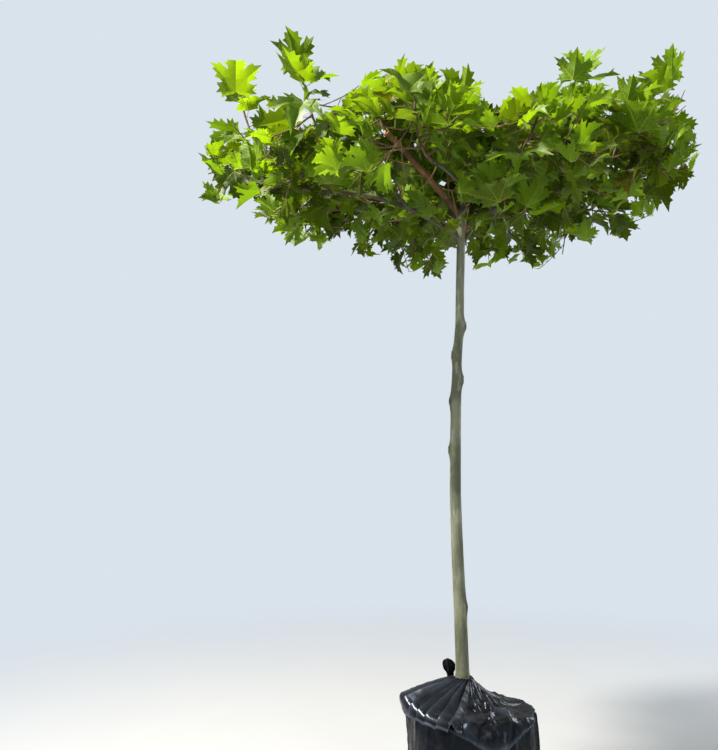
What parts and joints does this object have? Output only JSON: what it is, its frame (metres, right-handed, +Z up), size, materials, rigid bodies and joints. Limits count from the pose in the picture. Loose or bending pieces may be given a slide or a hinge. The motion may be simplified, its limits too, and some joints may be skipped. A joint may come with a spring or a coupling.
{
  "type": "potted tree sapling",
  "caption": "Young plane tree trained as a flat-topped standard: tall bare trunk, spreading boughs, broad crown of lobed leaves, root ball wrapped in black film.",
  "frame": {"origin": "centre of the root ball's flat underside, on the ground", "axes": "+Z up along the trunk, +X to the right and +Y away from a viewer who faces the side shown in the picture"},
  "size_m": [2.1351, 1.605, 3.3184],
  "materials": {
    "film": "crumpled black film with a soft gloss",
    "bark": "smooth olive-grey young bark",
    "limb": "smooth brown bark of young shoots",
    "foliage": "satin green leaves on thin woody twigs"
  },
  "bodies": {
    "root": {"bough_back": "limb", "bough_back_left": "limb", "bough_back_right": "limb", "bough_front": "limb", "bough_front_left": "limb", "bough_front_right": "limb", "bough_high_back": "limb", "bough_high_front": "limb", "bough_high_left": "limb", "bough_high_right": "limb", "bough_left": "limb", "bough_left_back": "limb", "bough_left_front": "limb", "bough_right": "limb", "foliage_back": "foliage", "foliage_back_left": "foliage", "foliage_back_right": "foliage", "foliage_front": "foliage", "foliage_front_left": "foliage", "foliage_front_right": "foliage", "foliage_high_back": "foliage", "foliage_high_front": "foliage", "foliage_high_left": "foliage", "foliage_high_right": "foliage", "foliage_left": "foliage", "foliage_left_back": "foliage", "foliage_left_front": "foliage", "foliage_right": "foliage", "root_ball": "film", "trunk": "bark"}
  },
  "joints": []
}
